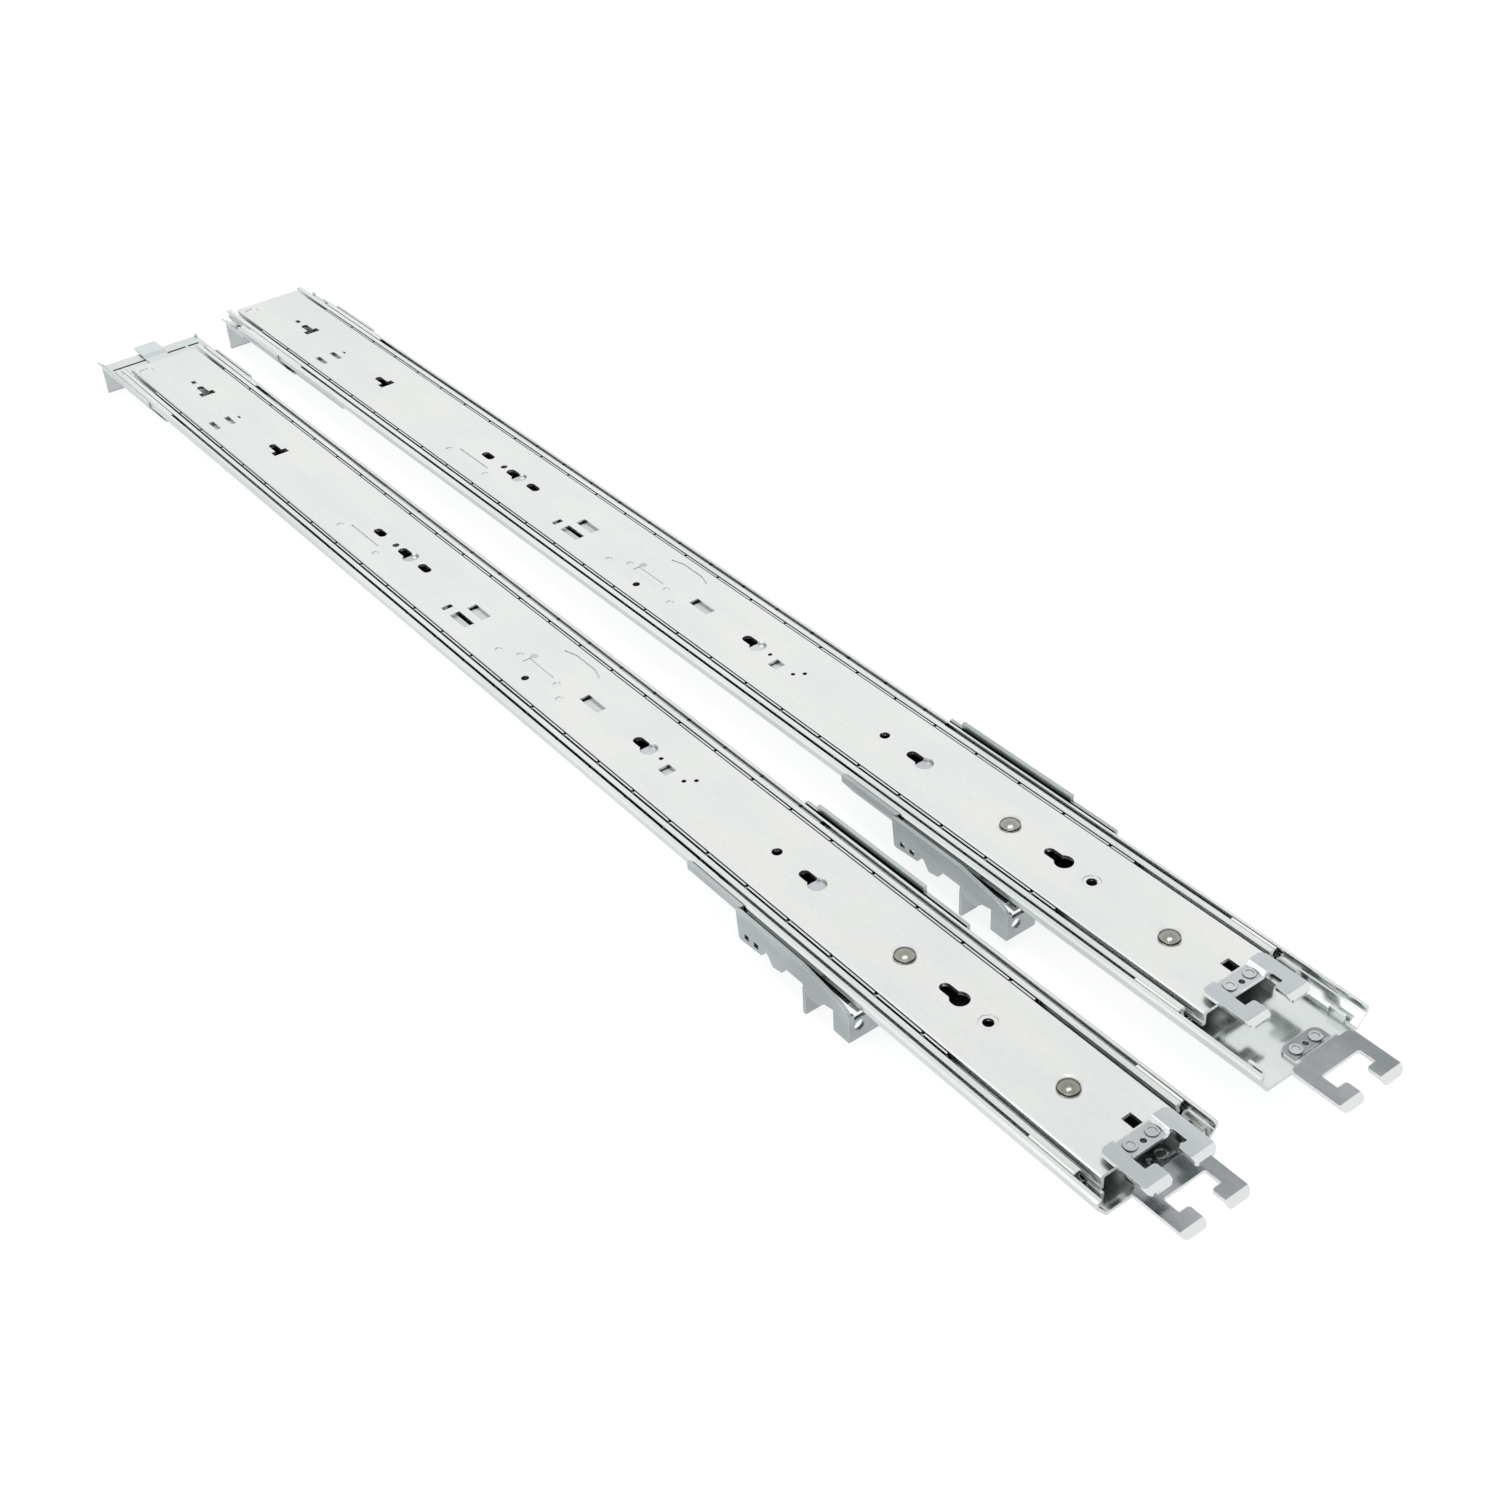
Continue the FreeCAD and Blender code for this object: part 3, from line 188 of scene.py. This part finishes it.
def add_floor():
    """Plain white floor: bright to the camera and in gloss, with the object's soft shadow."""
    lowest = CAD_BOX[0][2]
    bpy.ops.mesh.primitive_plane_add(size=FLOOR_SIZE, location=(0, 0, lowest - FLOOR_GAP))
    floor = bpy.context.object
    floor.name = "floor"
    material = bpy.data.materials.new("studio_floor")
    material.use_nodes = True
    nodes = material.node_tree.nodes
    links = material.node_tree.links
    nodes.clear()
    out = nodes.new("ShaderNodeOutputMaterial")
    total = nodes.new("ShaderNodeAddShader")
    light_path = nodes.new("ShaderNodeLightPath")
    seen = nodes.new("ShaderNodeMath")
    level = nodes.new("ShaderNodeMath")
    glow = nodes.new("ShaderNodeEmission")
    matt = nodes.new("ShaderNodeBsdfDiffuse")
    strength = nodes.new("ShaderNodeMath")
    seen.operation = "MAXIMUM"
    level.operation = "MULTIPLY"
    level.inputs[1].default_value = FLOOR_IN_GLOSS
    strength.operation = "MULTIPLY"
    strength.inputs[1].default_value = FLOOR_GLOW
    glow.inputs["Color"].default_value = STUDIO_WHITE
    matt.inputs["Color"].default_value = FLOOR_COLOUR
    links.new(light_path.outputs["Is Camera Ray"], seen.inputs[0])
    links.new(light_path.outputs["Is Glossy Ray"], level.inputs[0])
    links.new(level.outputs["Value"], seen.inputs[1])
    links.new(seen.outputs["Value"], strength.inputs[0])
    links.new(strength.outputs["Value"], glow.inputs["Strength"])
    links.new(glow.outputs["Emission"], total.inputs[0])
    links.new(matt.outputs["BSDF"], total.inputs[1])
    links.new(total.outputs["Shader"], out.inputs["Surface"])
    floor.data.materials.append(material)


class Shader:
    """A material's principled shader and short ways to add nodes to it."""

    def __init__(self, name):
        self.material = bpy.data.materials.new(name)
        self.material.use_nodes = True
        self.nodes = self.material.node_tree.nodes
        self.links = self.material.node_tree.links
        self.surface = self.nodes["Principled BSDF"]
        self.place = self.nodes.new("ShaderNodeTexCoord").outputs["Object"]

    def set(self, **values):
        """Set constants on the shader's own sockets."""
        for name, value in values.items():
            self.surface.inputs[name.replace("_", " ")].default_value = value

    def noise(self, scale, detail, stretch=(1, 1, 1)):
        """Noise in the object's own metres, stretched per axis."""
        mapping = self.nodes.new("ShaderNodeMapping")
        mapping.inputs["Scale"].default_value = stretch
        texture = self.nodes.new("ShaderNodeTexNoise")
        texture.inputs["Scale"].default_value = scale
        texture.inputs["Detail"].default_value = detail
        self.links.new(self.place, mapping.inputs["Vector"])
        self.links.new(mapping.outputs["Vector"], texture.inputs["Vector"])
        return texture.outputs["Fac"]

    def ramp(self, factor, stops):
        """A colour ramp over a factor; stops are (position, colour or grey)."""
        ramp = self.nodes.new("ShaderNodeValToRGB")
        elements = ramp.color_ramp.elements
        while len(elements) < len(stops):
            elements.new(0.5)
        for element, (position, colour) in zip(elements, stops):
            element.position = position
            element.color = colour if isinstance(colour, tuple) else (colour, colour, colour, 1)
        self.links.new(factor, ramp.inputs["Fac"])
        return ramp.outputs["Color"]

    def mix(self, factor, first, second, kind="MIX"):
        """Mix two colours by a factor."""
        mix = self.nodes.new("ShaderNodeMix")
        mix.data_type = "RGBA"
        mix.blend_type = kind
        sockets = (mix.inputs[0], mix.inputs[6], mix.inputs[7])
        for socket, value in zip(sockets, (factor, first, second)):
            if isinstance(value, (float, tuple)):
                socket.default_value = value
            else:
                self.links.new(value, socket)
        return mix.outputs[2]

    def edges(self, radius):
        """How far a point's rounded normal leans from its true one: bright at edges."""
        bevel = self.nodes.new("ShaderNodeBevel")
        bevel.samples = 4
        bevel.inputs["Radius"].default_value = radius
        geometry = self.nodes.new("ShaderNodeNewGeometry")
        dot = self.nodes.new("ShaderNodeVectorMath")
        dot.operation = "DOT_PRODUCT"
        self.links.new(bevel.outputs["Normal"], dot.inputs[0])
        self.links.new(geometry.outputs["Normal"], dot.inputs[1])
        return dot.outputs["Value"], bevel.outputs["Normal"]

    def hollows(self, reach):
        """How open a point is to its surroundings: low in slits and round seated pieces."""
        hollow = self.nodes.new("ShaderNodeAmbientOcclusion")
        hollow.samples = 6
        hollow.inputs["Distance"].default_value = reach
        return hollow.outputs["AO"]

    def level(self):
        """How far a face looks up: 1 on flat plates, less on bends, 0 on walls."""
        geometry = self.nodes.new("ShaderNodeNewGeometry")
        parts = self.nodes.new("ShaderNodeSeparateXYZ")
        self.links.new(geometry.outputs["True Normal"], parts.inputs[0])
        return parts.outputs["Z"]

    def bump(self, height, strength, distance, normal=None):
        """Bump from a height, on top of a given normal."""
        bump = self.nodes.new("ShaderNodeBump")
        bump.inputs["Strength"].default_value = strength
        bump.inputs["Distance"].default_value = distance
        self.links.new(height, bump.inputs["Height"])
        if normal is not None:
            self.links.new(normal, bump.inputs["Normal"])
        self.links.new(bump.outputs["Normal"], self.surface.inputs["Normal"])


def plated(name, colour, tint, roughness, edge=0.25 * MM, hollow=0.35, bends=0.0):
    """Zinc-plated sheet: cloudy colour, drawn grain, soft gloss, painted highlights on edges and
    bends, painted shade in slits.
    """
    shader = Shader(name)
    shader.set(Metallic=1.0)
    clouds = shader.noise(CLOUD_SCALE, 5.0, (0.35, 1, 1))
    speckle = shader.noise(SPECK_SCALE, 2.0)
    drawn = shader.noise(GRAIN_SCALE, 2.0, (0.03, 1, 1))
    base = shader.mix(shader.ramp(clouds, ((0.38, 0.0), (0.62, 1.0))), colour, tint)
    base = shader.mix(shader.ramp(speckle, ((0.25, 0.12), (0.5, 0.0))), base, SPECK)
    # painted highlight: faces that lean off flat, on bends and walls, are painted lighter
    if bends:
        bend_highlight = shader.ramp(shader.level(), ((0.90, bends), (0.995, 0.0)))
        base = shader.mix(bend_highlight, base, BEND_HIGHLIGHT)
    # painted highlight: edges, where the rounded normal leans off the true one, are painted lighter
    lean, _ = shader.edges(edge)
    base = shader.mix(shader.ramp(lean, ((0.80, 0.85), (0.98, 0.0))), base, EDGE_HIGHLIGHT)
    # painted shade: slits, hollows and round seated pieces are darkened in the colour
    shade = shader.ramp(shader.hollows(HOLLOW_REACH), ((0.0, 0.04), (hollow, 0.45), (0.75, 1.0)))
    base = shader.mix(1.0, base, shade, "MULTIPLY")
    shader.links.new(base, shader.surface.inputs["Base Color"])
    rough = shader.ramp(drawn, ((0.3, roughness * 0.8), (0.7, roughness * 1.2)))
    shader.links.new(rough, shader.surface.inputs["Roughness"])
    _, normal = shader.edges(ROUND_OFF)
    shader.bump(drawn, 0.06, GRAIN_DEPTH, normal)
    return shader.material


def plastic(name, colour, roughness):
    """Moulded plastic with a faint grain."""
    shader = Shader(name)
    shader.set(Roughness=roughness)
    clouds = shader.noise(300.0, 3.0)
    base = shader.mix(clouds, colour, tuple(0.93 * part for part in colour[:3]) + (1.0,))
    shader.links.new(base, shader.surface.inputs["Base Color"])
    shader.bump(shader.noise(3000.0, 2.0), 0.2, GRAIN_DEPTH)
    return shader.material


def make_materials():
    """Every finish, by its name."""
    materials = {name: plated(name, colour, tint, roughness, **extra)
                 for name, (colour, tint, roughness, extra) in FINISHES.items()}
    materials["white_plastic"] = plastic("white_plastic", (0.86, 0.86, 0.83, 1.0), 0.5)
    return materials


def dress_nodes(materials):
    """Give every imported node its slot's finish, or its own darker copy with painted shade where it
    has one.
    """
    slots = {part["node"]: part["material_slot"] for part in frame["record"]["subparts"]}
    for name, item in frame["nodes"].items():
        piece = name.split("_", 2)[2]
        item.data.materials.clear()
        item.data.materials.append(materials[PAINTED_SHADE_FINISH.get(piece, slots[name])])


def rail_box(name, rail, body, spans, material):
    """A box that rides on a body; spans are its low and high x, y and z in rail coordinates."""
    along, across = RAIL_PLACES[rail]
    middle = [(low + high) / 2 for low, high in spans]
    size = [high - low for low, high in spans]
    place = (ORIGIN[0] + along + middle[0], ORIGIN[1] + across + middle[1], ORIGIN[2] + middle[2])
    mesh = bpy.data.meshes.new(name)
    shape = bmesh.new()
    bmesh.ops.create_cube(shape, size=1.0)
    bmesh.ops.scale(shape, vec=[value * MM for value in size], verts=shape.verts)
    bmesh.ops.translate(shape, vec=[value * MM for value in place], verts=shape.verts)
    shape.to_mesh(mesh)
    shape.free()
    item = bpy.data.objects.new(name, mesh)
    bpy.context.scene.collection.objects.link(item)
    mesh.materials.append(material)
    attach(item, body)


def add_slit_shade_strips(material):
    """A dark strip below the slit of each lip, which the solids leave open: painted shade in the slit.
    """
    for rail in RAIL_PLACES:
        rail_box("%s_slit_shade_strip" % rail, rail, "rack_side", SLIT_SHADE_SPANS, material)


add_camera()
add_world()
add_floor()
for softbox in SOFTBOXES:
    add_softbox(*softbox)
MATERIALS = make_materials()
dress_nodes(MATERIALS)
add_slit_shade_strips(MATERIALS["slit_shade_steel"])
bpy.context.scene.view_settings.view_transform = "Standard"
